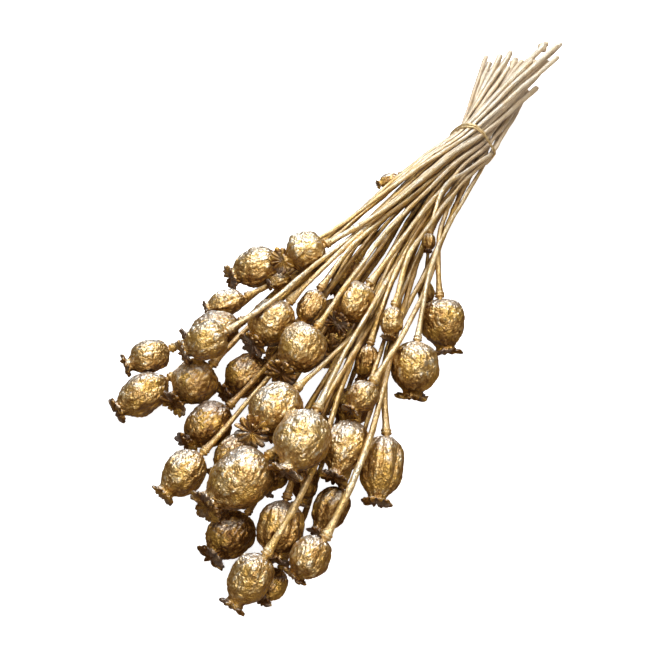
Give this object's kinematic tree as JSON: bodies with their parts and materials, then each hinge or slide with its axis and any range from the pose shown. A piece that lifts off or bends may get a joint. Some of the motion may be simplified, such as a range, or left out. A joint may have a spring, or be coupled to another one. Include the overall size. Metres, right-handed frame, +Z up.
{
  "type": "dried poppy seed head bunch",
  "caption": "Bunch of gold-painted dried poppy seed heads on long thin stalks, held by a tie and lying on its side; a ready-made decoration.",
  "frame": {"origin": "on the resting surface, under the middle of the bunch's box", "axes": "+X from the cut ends towards the heads, along the bunch; +Y across it; +Z up from the surface it lies on"},
  "size_m": [0.5404, 0.1926, 0.0729],
  "materials": {
    "gilded_poppy": "dry plant tissue sprayed with gold paint, creased and half glossy",
    "elastic_tie": "thin elastic band sprayed with the same gold paint"
  },
  "bodies": {
    "root": {"poppy_01": "gilded_poppy", "poppy_02": "gilded_poppy", "poppy_03": "gilded_poppy", "poppy_04": "gilded_poppy", "poppy_05": "gilded_poppy", "poppy_06": "gilded_poppy", "poppy_07": "gilded_poppy", "poppy_08": "gilded_poppy", "poppy_09": "gilded_poppy", "poppy_10": "gilded_poppy", "poppy_11": "gilded_poppy", "poppy_12": "gilded_poppy", "poppy_13": "gilded_poppy", "poppy_14": "gilded_poppy", "poppy_15": "gilded_poppy", "poppy_16": "gilded_poppy", "poppy_17": "gilded_poppy", "poppy_18": "gilded_poppy", "poppy_19": "gilded_poppy", "poppy_20": "gilded_poppy", "poppy_21": "gilded_poppy", "poppy_22": "gilded_poppy", "poppy_23": "gilded_poppy", "poppy_24": "gilded_poppy", "poppy_25": "gilded_poppy", "poppy_26": "gilded_poppy", "poppy_27": "gilded_poppy", "poppy_28": "gilded_poppy", "poppy_29": "gilded_poppy", "poppy_30": "gilded_poppy", "poppy_31": "gilded_poppy", "poppy_32": "gilded_poppy", "poppy_33": "gilded_poppy", "poppy_34": "gilded_poppy", "poppy_35": "gilded_poppy", "poppy_36": "gilded_poppy", "poppy_37": "gilded_poppy", "poppy_38": "gilded_poppy", "poppy_39": "gilded_poppy", "poppy_40": "gilded_poppy", "poppy_41": "gilded_poppy", "poppy_42": "gilded_poppy", "poppy_43": "gilded_poppy", "poppy_44": "gilded_poppy", "poppy_45": "gilded_poppy", "tie": "elastic_tie"}
  },
  "joints": []
}
